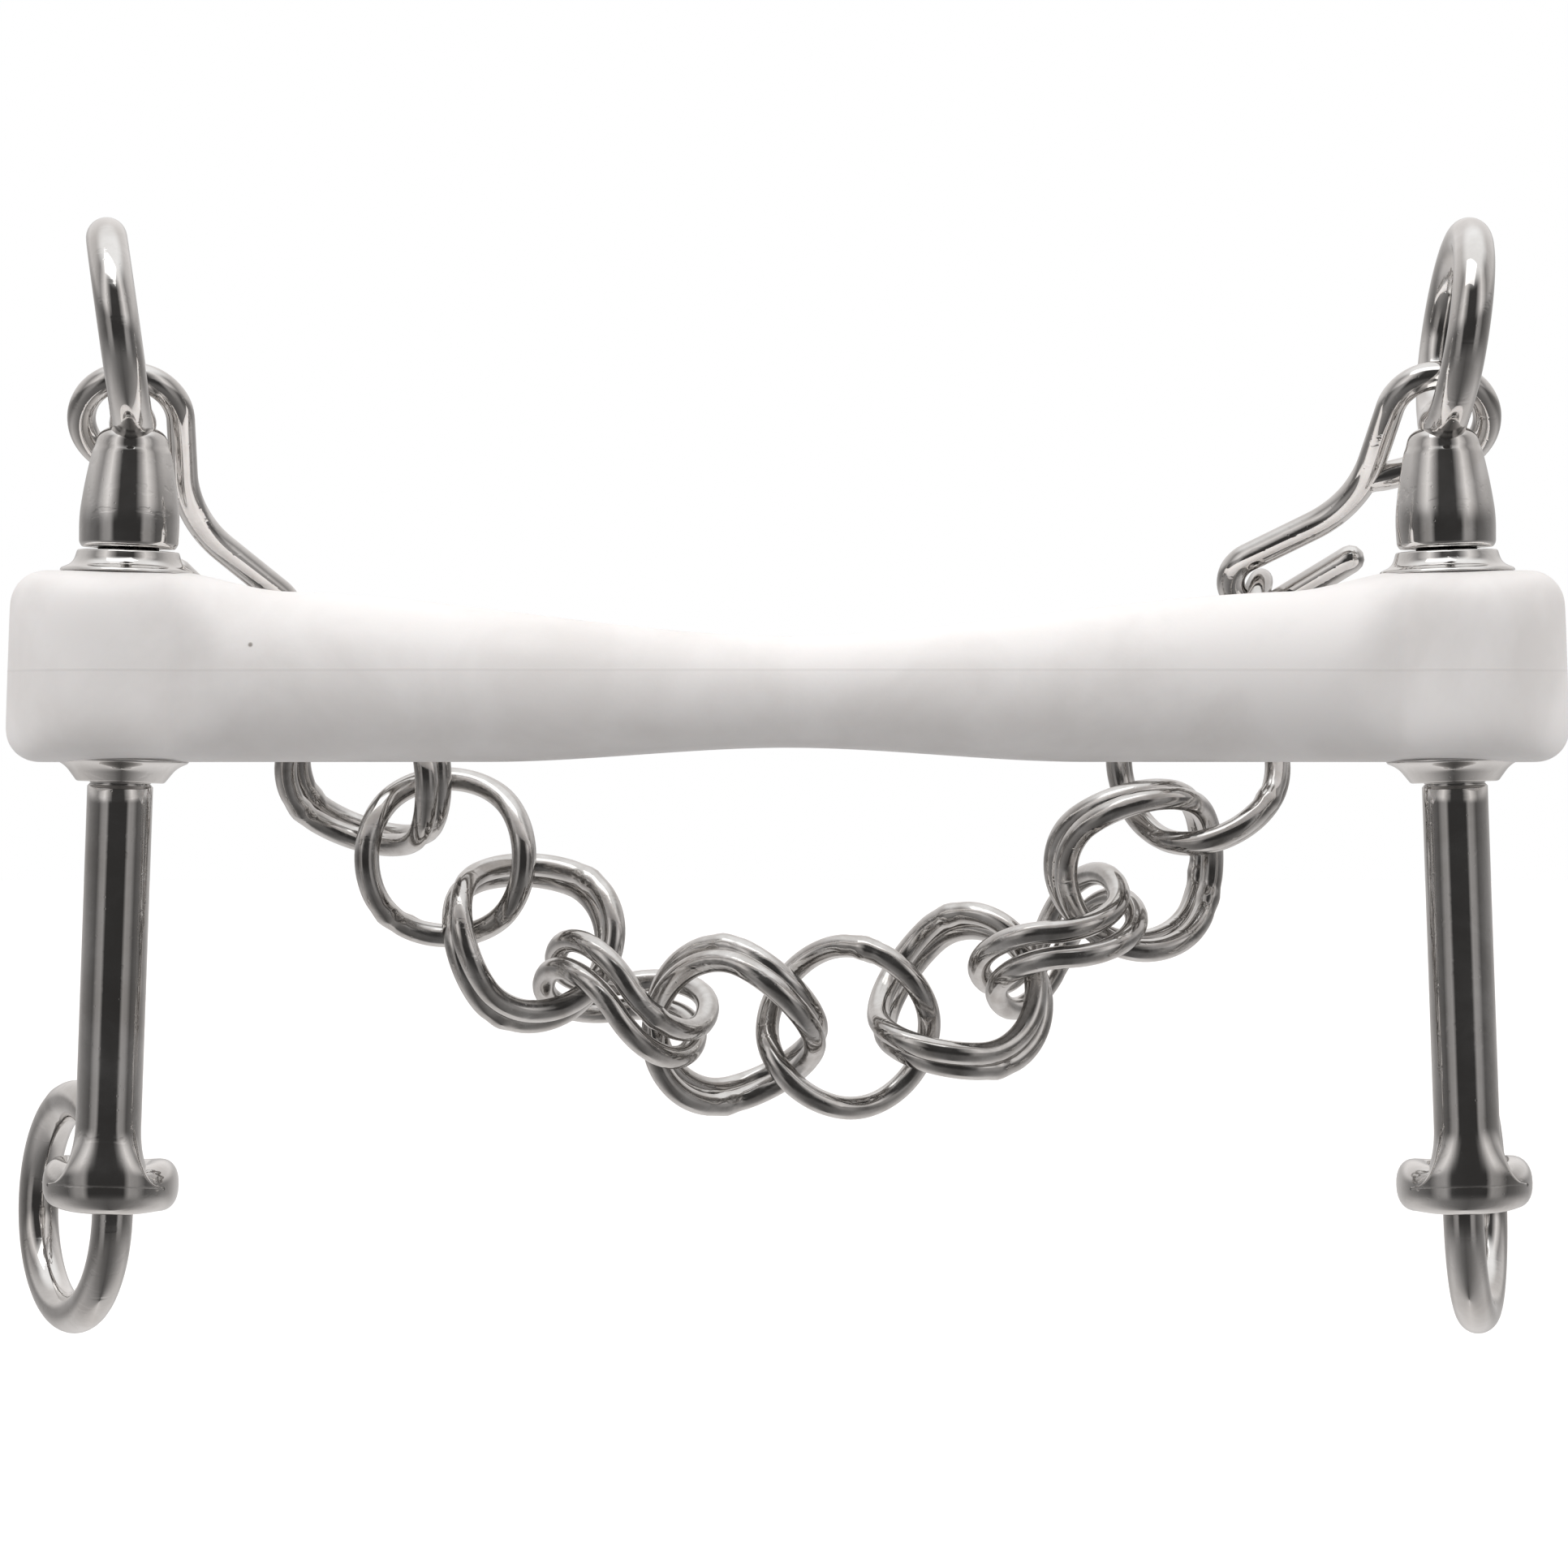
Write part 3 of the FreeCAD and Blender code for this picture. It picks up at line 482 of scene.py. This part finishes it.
def bells_and_eyes():
    """Each upper cheek: a hollow bell turned about the spindle, and a round eye of thick wire whose foot
    thickens into it."""
    for name in SIDES:
        origin, x_axis, y_axis, z_axis = cheek_axes(name)
        outer = rounded([(SPINDLE_RADIUS, 13.4 * MM), (5.3 * MM, 13.4 * MM), (5.65 * MM, 13.9 * MM),
                         (5.75 * MM, 17.0 * MM), (5.2 * MM, 21.0 * MM), (4.5 * MM, 24.4 * MM), (4.25 * MM, 25.0 * MM),
                         (3.9 * MM, 26.4 * MM), (2.6 * MM, 27.2 * MM), (0.0, 27.3 * MM)],
                        [0.2 * MM, 0.3 * MM, 1.5 * MM, 2.0 * MM, 0.25 * MM, 0.2 * MM, 0.8 * MM, 0.5 * MM], 6)
        inner = np.array([[0.0, SPINDLE_TOP], [SPINDLE_RADIUS, SPINDLE_TOP], [SPINDLE_RADIUS, 13.45 * MM]])
        outline = np.concatenate((outer, inner))
        outline[:, 0] = np.maximum(outline[:, 0], 0.02 * MM)
        bell = shell(placed(turned(outline), origin, x_axis, y_axis, z_axis), ring=True)
        centre, up, back = eye_axes(name)
        angle = np.linspace(0, 2 * np.pi, 120, endpoint=False)[:, None]
        path = centre + EYE_RADIUS * (-np.cos(angle) * up + np.sin(angle) * back)
        nearness = np.exp(-(np.minimum(angle, 2 * np.pi - angle) / 0.30) ** 2)[:, 0]
        eye = wire(path, centre - path, EYE_WIRE + 0.35 * MM * nearness, closed=True, columns=32)
        piece = mesh_piece(name + "_bell_and_eye", [bell, shell(eye, ring=True)])
        finish_piece(piece, name + "_cheek", name + "_upper_cheek", FORGED)


def rein_eye_path(count):
    """A closed stadium in plan: two half circles joined by straight sides, walked at even angle."""
    angle = np.linspace(0, 2 * np.pi, count, endpoint=False)
    middle = (REIN_EYE_FRONT + REIN_EYE_BACK) / 2
    stretch = (REIN_EYE_BACK - REIN_EYE_FRONT) / 2 * np.tanh(4.0 * np.sin(angle))
    round_y = REIN_EYE_RADIUS * np.sin(angle)
    return np.stack((REIN_EYE_RADIUS * np.cos(angle), middle + stretch + round_y, 0 * angle), axis=-1)


def shank_stem():
    """Spindle and shank, turned round Z. Toward the foot the section goes from a circle to a wide lens
    whose front follows the rein eye's front in plan; below the eye's middle it sinks into the eye."""
    height = np.concatenate((np.array([SPINDLE_TOP, SPINDLE_TOP - 0.4 * MM, SHANK_TOP + 0.05 * MM, SHANK_TOP,
                                       SHANK_TOP - 0.4 * MM]), np.linspace(-14 * MM, -51 * MM, 20)[1:],
                             np.linspace(-51.5 * MM, -61.4 * MM, 48)))
    radius = np.full(len(height), SHANK_RADIUS)
    radius[:5] = (SPINDLE_RADIUS - 0.4 * MM, SPINDLE_RADIUS, SPINDLE_RADIUS, SHANK_RADIUS - 0.35 * MM, SHANK_RADIUS)
    flare = np.clip((-height - 52.5 * MM) / (6.8 * MM), 0.0, 1.0)
    wide = radius + FOOT_HALF_WIDTH * (1.0 - np.sqrt(1.0 - flare ** 2))
    wide = wide - 1.8 * MM * smooth(-height, 59.3 * MM, 61.4 * MM)
    angle = np.linspace(0, 2 * np.pi, 64, endpoint=False)
    x = wide[:, None] * np.cos(angle)
    round_y = radius[:, None] * np.sin(angle)
    face_y = REIN_EYE_FRONT - np.sqrt((REIN_EYE_RADIUS + REIN_EYE_WALL + 0.01 * MM) ** 2 - x ** 2)
    foot_y = -0.5 * MM + (face_y + 0.5 * MM) * smooth(-np.sin(angle), 0.0, 0.35)
    y = round_y + (foot_y - round_y) * smooth(-height, 52 * MM, 59 * MM)[:, None]
    y = y + 300.0 * np.clip(-height - 59 * MM, 0.0, None)[:, None] ** 2
    return np.stack((x, y, np.repeat(height[:, None], 64, axis=1)), axis=-1)


def rein_eye():
    """The rein eye: a squared oval section carried round its plan, raised a little at both sides."""
    path = rein_eye_path(140)
    curl = (np.abs(path[:, 0]) / REIN_EYE_RADIUS) ** 3
    front = smooth(-path[:, 1], -6 * MM, 0.0)
    path[:, 2] = REIN_EYE_MIDDLE + 0.45 * MM * curl
    along = unit(np.roll(path, -1, axis=0) - np.roll(path, 1, axis=0))
    outward = np.cross(along, np.array([0.0, 0.0, 1.0]))
    angle = np.linspace(0, 2 * np.pi, 32, endpoint=False)
    power = 2.0 / 2.3
    wall = np.sign(np.cos(angle)) * np.abs(np.cos(angle)) ** power * REIN_EYE_WALL
    rise = np.sign(np.sin(angle)) * np.abs(np.sin(angle)) ** power
    eye = path[:, None, :] + wall[None, :, None] * outward[:, None, :]
    eye[..., 2] += rise[None, :] * (REIN_EYE_HALF_HEIGHT - 0.25 * MM * front[:, None])
    return eye


def shanks():
    """Each lower cheek: the spindle and shank, and the rein eye that its foot flows into."""
    for name in SIDES:
        axes = cheek_axes(name)
        shells = [shell(placed(shank_stem(), *axes)), shell(placed(rein_eye(), *axes), ring=True)]
        piece = mesh_piece(name + "_forged_shank", shells)
        finish_piece(piece, name + "_cheek", name + "_shank", FORGED)


def rein_rings():
    """Loose rings of round wire, a touch thicker where each is welded shut."""
    for name in SIDES:
        low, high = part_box(name + "_rein_ring")
        centre = (np.array(low) + np.array(high)) / 2
        z_axis = cheek_axes(name)[3]
        pivot = np.array(JOINTS[name + "_rein_ring_swivel"]["pos_m"], float)
        back = centre - pivot
        back = unit(back - z_axis * back.dot(z_axis))
        angle = np.linspace(0, 2 * np.pi, 120, endpoint=False)[:, None]
        path = centre + REIN_RING_RADIUS * (np.cos(angle) * back + np.sin(angle) * z_axis)
        weld = 0.05 * MM * np.exp(-((angle[:, 0] - 1.2) / 0.05) ** 2)
        ring = wire(path, centre - path, EYE_WIRE + weld, closed=True, columns=32)
        piece = mesh_piece(name + "_loose_rein_ring", [shell(ring, ring=True)])
        finish_piece(piece, name + "_rein_ring", name + "_rein_ring", FORGED)


# --- curb hooks ----------------------------------------------------------------------------------

def hook_plane(name):
    """Origin and axes of a hook: X toward the middle of the bit, Z up the leaning plane."""
    centre, up, back = eye_axes(name)
    eye_wire = centre + EYE_RADIUS * (-math.cos(HOOK_BACK) * up + math.sin(HOOK_BACK) * back)
    down = np.array([0.0, math.sin(HOOK_BACK), -math.cos(HOOK_BACK)])
    inward = np.array([-SIDES[name], 0.0, 0.0])
    loop = eye_wire + down * HOOK_DROP + inward * HOOK_INSET
    turn = HOOK_SWING[name]
    x_axis = inward * math.cos(turn) - down * math.sin(turn)
    z_axis = -(inward * math.sin(turn) + down * math.cos(turn))
    return loop, x_axis, np.cross(z_axis, x_axis), z_axis


def arc_line(centre, radius, start, stop, steps):
    """Points round a circle in the hook's plane from one angle to another, without the first."""
    angle = np.linspace(start, stop, steps)[1:, None]
    return centre + radius * np.concatenate((np.cos(angle), np.sin(angle)), axis=1)


def straight(start, stop, steps):
    """Evenly spaced points from start to stop, without the first."""
    return start + np.linspace(0, 1, steps)[1:, None] * (stop - start)


def hook_run():
    """The hook from the side of its loop: down, round the bend, on to the open turn, round a little more
    than half a circle, and back along the free end. Straight pieces and arcs that meet in line."""
    side = np.array([HOOK_LOOP, 0.0])
    along = np.array([math.sin(HOOK_SLANT), -math.cos(HOOK_SLANT)])
    across = np.array([-math.cos(HOOK_SLANT), -math.sin(HOOK_SLANT)])
    start = np.array([HOOK_LOOP, -HOOK_CORNER]) + along * HOOK_RUN
    setback = HOOK_BEND * math.tan(HOOK_SLANT / 2)
    bend_start = np.array([HOOK_LOOP, setback - HOOK_CORNER])
    bend = arc_line(bend_start + [HOOK_BEND, 0.0], HOOK_BEND, math.pi, math.pi + HOOK_SLANT, 16)
    stop = HOOK_SLANT - math.pi - HOOK_CLOSE
    turn = arc_line(start + across * HOOK_TURN, HOOK_TURN, HOOK_SLANT, stop, 30)
    tip = turn[-1] + HOOK_TONGUE * np.array([math.sin(stop), -math.cos(stop)])
    return np.concatenate((side[None], straight(side, bend_start, 14), bend, straight(bend[-1], start, 16),
                           turn, straight(turn[-1], tip, 14)))


def hook_loop():
    """The hook's loop: round from its side, over the top and down, then straight back to the first run."""
    arc = arc_line(np.zeros(2), HOOK_LOOP, 0.0, LOOP_SWEEP, 60)
    tail = arc[-1] + LOOP_TAIL * np.array([-math.sin(LOOP_SWEEP), math.cos(LOOP_SWEEP)])
    return np.concatenate((np.array([[HOOK_LOOP, 0.0]]), arc, straight(arc[-1], tail, 14)))


def curb_hooks():
    """Each hook: one bent wire from the tail of its loop, round the loop, down the run and round the open
    turn to a rounded free end. The tail narrows a little where it closes on the run."""
    normal = np.array([[0.0, 1.0, 0.0]])
    tail = np.array([0.90, 0.90, 0.97, 0.995])
    tip = np.array([0.89, 0.60, 0.18])
    line = np.concatenate((hook_loop()[::-1], hook_run()[1:]))
    path = np.stack((line[:, 0], 0 * line[:, 0], line[:, 1]), axis=-1)
    ball = path[-1] + unit(path[-1] - path[-2]) * HOOK_WIRE * np.array([[0.45], [0.80], [0.98]])
    path = np.concatenate((path, ball))
    radius = HOOK_WIRE * np.concatenate((tail, np.ones(len(path) - len(tail) - len(tip)), tip))
    for name in SIDES:
        grid = placed(wire(path, normal, radius), *hook_plane(name))
        piece = mesh_piece(name + "_bent_hook", [shell(grid)])
        finish_piece(piece, name + "_hook", name + "_curb_hook", FORGED)


# --- curb chain ----------------------------------------------------------------------------------

def twisted_path(steps=26):
    """The centre line of a link: four equal arcs round a circle, its two ends twisted opposite ways.
    Each arc leaves its start along a tangent and turns evenly until it reaches the next start."""
    cos = math.cos(LINK_TWIST)
    sin = math.sin(LINK_TWIST)
    starts = LINK_RADIUS * np.array([[1, 0, 0], [0, 1, 0], [-1, 0, 0], [0, -1, 0]], float)
    tangents = np.array([[0, cos, sin], [-cos, 0, -sin], [0, -cos, sin], [cos, 0, -sin]])
    chords = np.roll(starts, -1, axis=0) - starts
    inward = unit(chords - tangents * (chords * tangents).sum(axis=1, keepdims=True))
    half_turn = math.acos(cos / math.sqrt(2))
    radius = LINK_RADIUS / math.sqrt(2) / math.sin(half_turn)
    angle = np.linspace(0, 2 * half_turn, steps, endpoint=False)[None, :, None]
    arcs = starts[:, None] + radius * ((1 - np.cos(angle)) * inward[:, None] + np.sin(angle) * tangents[:, None])
    return arcs.reshape(-1, 3)


def link_wire(path, seed):
    """A link's wire: a butt weld stands a little proud at one place, and its thickness wanders slightly."""
    random = np.random.default_rng(seed)
    turn = np.linspace(0, 2 * np.pi, len(path), endpoint=False)
    weld_at = np.pi * (0.5 + random.integers(0, 2)) + random.uniform(-0.5, 0.5)
    away = np.abs((turn - weld_at + np.pi) % (2 * np.pi) - np.pi)
    weld = 0.13 * MM * np.exp(-(away / 0.07) ** 2) - 0.05 * MM * np.exp(-((away - 0.16) / 0.05) ** 2)
    waver = 0.015 * MM * np.sin(3 * turn + random.uniform(0, 6)) - 0.02 * MM * np.cos(turn * 2) ** 2
    return wire(path, path, LINK_WIRE + weld + waver, closed=True, columns=20)


def chain_links():
    """Ten pairs of twisted links, each pair at its own roll, and a plain ring at each end."""
    centres = []
    for number, degrees in enumerate(PAIR_ROLLS, start=1):
        joint = JOINTS[f"pair_{number:02d}_roll"]
        origin = np.array(joint["pos_m"], float)
        along = np.array(joint["axis"], float)
        centres.append(origin)
        out = np.array([0.0, -1.0, 0.0])
        out = unit(out - along * out.dot(along))
        across = np.cross(out, along)
        roll = math.radians(degrees)
        y_axis = across * math.cos(roll) + out * math.sin(roll)
        z_axis = out * math.cos(roll) - across * math.sin(roll)
        for letter, offset in (("a", MATE_OFFSET), ("b", -MATE_OFFSET)):
            path = twisted_path()
            grid = link_wire(path, number * 2 + (letter == "b"))
            grid = placed(grid, origin + z_axis * offset, along, y_axis, z_axis)
            piece = mesh_piece(f"twisted_link_{number:02d}{letter}", [shell(grid, ring=True)])
            node_name = f"chain_link_{number:02d}{letter}"
            finish_piece(piece, f"chain_pair_{number:02d}", node_name, CHAIN)
    for name, neighbour in (("left", centres[0]), ("right", centres[-1])):
        low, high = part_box("chain_end_ring_" + name)
        centre = (np.array(low) + np.array(high)) / 2
        points = np.array([vertex.co for vertex in frame["nodes"]["chain_end_ring_" + name].data.vertices])
        normal = np.linalg.svd(points - centre, full_matrices=False)[2][2]
        x_axis = neighbour - centre
        x_axis = unit(x_axis - normal * x_axis.dot(normal))
        angle = np.linspace(0, 2 * np.pi, 104, endpoint=False)
        path = LINK_RADIUS * np.stack((np.cos(angle), np.sin(angle), 0 * angle), axis=-1)
        grid = placed(link_wire(path, 90 + len(name)), centre, x_axis, np.cross(normal, x_axis), normal)
        piece = mesh_piece("plain_end_ring_" + name, [shell(grid, ring=True)])
        finish_piece(piece, "chain", "chain_end_ring_" + name, CHAIN)


# --- studio --------------------------------------------------------------------------------------

def brightness_ramp(tree, stops, span, green, blue):
    """A ramp from stops of (place along the span, value), with the green and blue a share of the red."""
    ramp = node(tree, "ShaderNodeValToRGB")
    elements = ramp.color_ramp.elements
    while len(elements) < len(stops):
        elements.new(0.5)
    for element, (place, value) in zip(elements, stops):
        element.position = place / span
        element.color = (value, value * green, value * blue, 1.0)
    return ramp


def panorama(tree, stops):
    """Brightness around the horizon, alike on both sides, from stops of (degrees from the front, value)."""
    return brightness_ramp(tree, stops, 180, 0.97, 0.955)


def blend(tree, amount, low, high):
    """A colour that goes from the low socket to the high one as the amount rises."""
    mix = node(tree, "ShaderNodeMix", {}, data_type="RGBA")
    tree.links.new(amount, mix.inputs[0])
    for socket, source in ((mix.inputs[6], low), (mix.inputs[7], high)):
        if isinstance(source, tuple):
            socket.default_value = source
        else:
            tree.links.new(source, socket)
    return mix.outputs[2]


def studio_world():
    """Soft white studio. Its light is strongest from above and behind and fades toward the front and
    below. What polished steel mirrors is a white ceiling, a pale wall at the back and grey screens at the
    front with a dark gap between them, where the camera stands. Both sides are alike."""
    world = bpy.data.worlds.new("studio")
    bpy.context.scene.world = world
    world.use_nodes = True
    tree = world.node_tree
    tree.nodes.clear()
    link = tree.links.new
    place = node(tree, "ShaderNodeTexCoord")
    parts = node(tree, "ShaderNodeSeparateXYZ")
    link(place.outputs["Generated"], parts.inputs[0])
    front = node(tree, "ShaderNodeMath", {1: -1.0}, operation="MULTIPLY")
    link(parts.outputs["Y"], front.inputs[0])
    bearing = node(tree, "ShaderNodeMath", operation="ARCTAN2")
    link(parts.outputs["X"], bearing.inputs[0])
    link(front.outputs["Value"], bearing.inputs[1])
    turned_away = node(tree, "ShaderNodeMath", operation="ABSOLUTE")
    link(bearing.outputs["Value"], turned_away.inputs[0])
    across = node(tree, "ShaderNodeMapRange", {"From Min": 0.0, "From Max": math.pi})
    link(turned_away.outputs["Value"], across.inputs["Value"])

    def rise(low, high):
        """How far a direction has risen from one height to the other, 0 to 1."""
        step = node(tree, "ShaderNodeMapRange", {"From Min": low, "From Max": high}, interpolation_type="SMOOTHSTEP")
        link(parts.outputs["Z"], step.inputs["Value"])
        return step.outputs["Result"]

    level = panorama(tree, [(0, 0.04), (30, 0.04), (40, 0.35), (55, 0.30), (70, 0.1), (90, 0.15), (120, 0.25),
                            (180, 0.6)])
    raised = panorama(tree, [(0, 0.05), (20, 0.05), (35, 0.4), (50, 0.9), (65, 0.6), (80, 0.3), (110, 0.6),
                             (180, 0.9)])
    below = panorama(tree, [(0, 0.1), (30, 0.15), (60, 0.25), (90, 0.4), (120, 0.6), (180, 0.8)])
    for ramp in (level, raised, below):
        link(across.outputs["Result"], ramp.inputs["Fac"])
    sides = blend(tree, rise(-0.55, -0.12), below.outputs["Color"], level.outputs["Color"])
    upper = blend(tree, rise(0.05, 0.30), sides, raised.outputs["Color"])
    mirrored = blend(tree, rise(0.62, 0.92), upper, (1.05, 1.05, 1.05, 1.0))

    tilt = node(tree, "ShaderNodeVectorMath", {1: (0.0, 0.55, 0.83)}, operation="DOT_PRODUCT")
    link(place.outputs["Generated"], tilt.inputs[0])
    behind = node(tree, "ShaderNodeMapRange", {"From Min": -1.0, "From Max": 1.0})
    link(tilt.outputs["Value"], behind.inputs["Value"])
    fall = [(0.0, 0.3), (0.17, 0.5), (0.32, 0.64), (0.5, 0.95), (0.75, 1.25), (1.0, 1.45)]
    soft = brightness_ramp(tree, fall, 1.0, 0.975, 0.965)
    link(behind.outputs["Result"], soft.inputs["Fac"])

    ray = node(tree, "ShaderNodeLightPath")
    light = blend(tree, ray.outputs["Is Glossy Ray"], soft.outputs["Color"], mirrored)
    seen = blend(tree, ray.outputs["Is Camera Ray"], light, (1.0, 1.0, 1.0, 1.0))
    background = node(tree, "ShaderNodeBackground", {"Strength": 1.0})
    link(seen, background.inputs["Color"])
    output = node(tree, "ShaderNodeOutputWorld")
    link(background.outputs["Background"], output.inputs["Surface"])


def studio_floor():
    """A wide plain pale floor under the object."""
    height = cad_low.z - 0.03
    reach = 6.0
    corner = np.array([[-reach, -reach], [reach, -reach], [reach, reach], [-reach, reach]])
    mesh = bpy.data.meshes.new("floor")
    mesh.from_pydata(np.column_stack((corner, np.full(4, height))).tolist(), [], [[0, 1, 2, 3]])
    floor = bpy.data.objects.new("floor", mesh)
    bpy.context.scene.collection.objects.link(floor)
    material = bpy.data.materials.new("pale_floor")
    material.use_nodes = True
    shader = material.node_tree.nodes["Principled BSDF"]
    shader.inputs["Base Color"].default_value = (0.93, 0.93, 0.93, 1.0)
    shader.inputs["Roughness"].default_value = 0.9
    shader.inputs["Specular IOR Level"].default_value = 0.0
    mesh.materials.append(material)
    floor.visible_glossy = False
    floor.visible_diffuse = False
    floor.visible_shadow = False


def lamp(name, place, aim, size, power):
    """A soft rectangular lamp that points at a place."""
    data = bpy.data.lights.new(name, "AREA")
    data.shape = "RECTANGLE"
    data.size, data.size_y = size
    data.energy = power
    made = bpy.data.objects.new(name, data)
    bpy.context.scene.collection.objects.link(made)
    made.location = place
    direction = made.location - Vector(aim)
    made.rotation_euler = direction.to_track_quat("Z", "Y").to_euler()


def camera():
    """A level long-lens camera in front of the object, a little below the mouthpiece."""
    data = bpy.data.cameras.new("camera")
    data.sensor_width = 36.0
    data.lens = 161.0
    made = bpy.data.objects.new("camera", data)
    bpy.context.scene.collection.objects.link(made)
    made.location = (-0.4 * MM, -800 * MM, -13.5 * MM)
    made.rotation_euler = (math.pi / 2, 0.0, 0.0)
    bpy.context.scene.camera = made


for hidden in ("core_bar", "left_sleeve", "right_sleeve"):
    frame["nodes"][hidden].data.materials.clear()
    frame["nodes"][hidden].data.materials.append(DRAWN)

mouthpiece()
flanges()
bells_and_eyes()
shanks()
rein_rings()
curb_hooks()
chain_links()
studio_world()
studio_floor()
lamp("top_softbox", (-0.15, -0.35, 0.75), (0.0, 0.0, 0.0), (0.7, 0.4), 0.8)
camera()
bpy.context.scene.view_settings.view_transform = "Standard"
